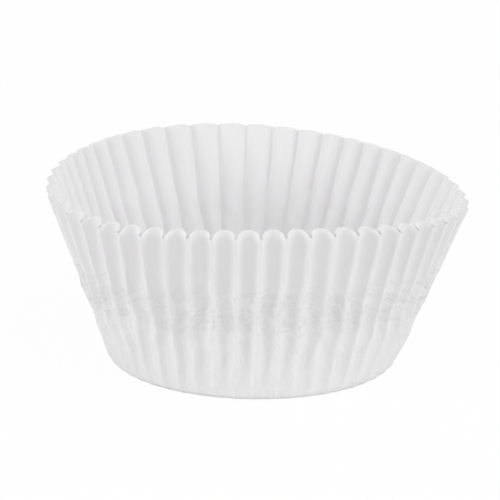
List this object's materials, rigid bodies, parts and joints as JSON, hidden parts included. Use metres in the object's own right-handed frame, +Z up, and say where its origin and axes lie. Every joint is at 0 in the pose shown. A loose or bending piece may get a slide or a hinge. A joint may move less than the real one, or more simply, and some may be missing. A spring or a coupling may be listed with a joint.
{
  "type": "cupcake liner",
  "caption": "White fluted paper baking cup with a flat round base and a flared, slightly uneven open mouth.",
  "frame": {"origin": "middle of the underside of the flat round base", "axes": "+Z up through the open mouth, -Y towards the front"},
  "size_m": [0.0715, 0.069, 0.0331],
  "materials": {
    "paper": "matt greaseproof paper, bleached white, faint sheen"
  },
  "bodies": {
    "root": {"paper_liner": "paper"}
  },
  "joints": []
}
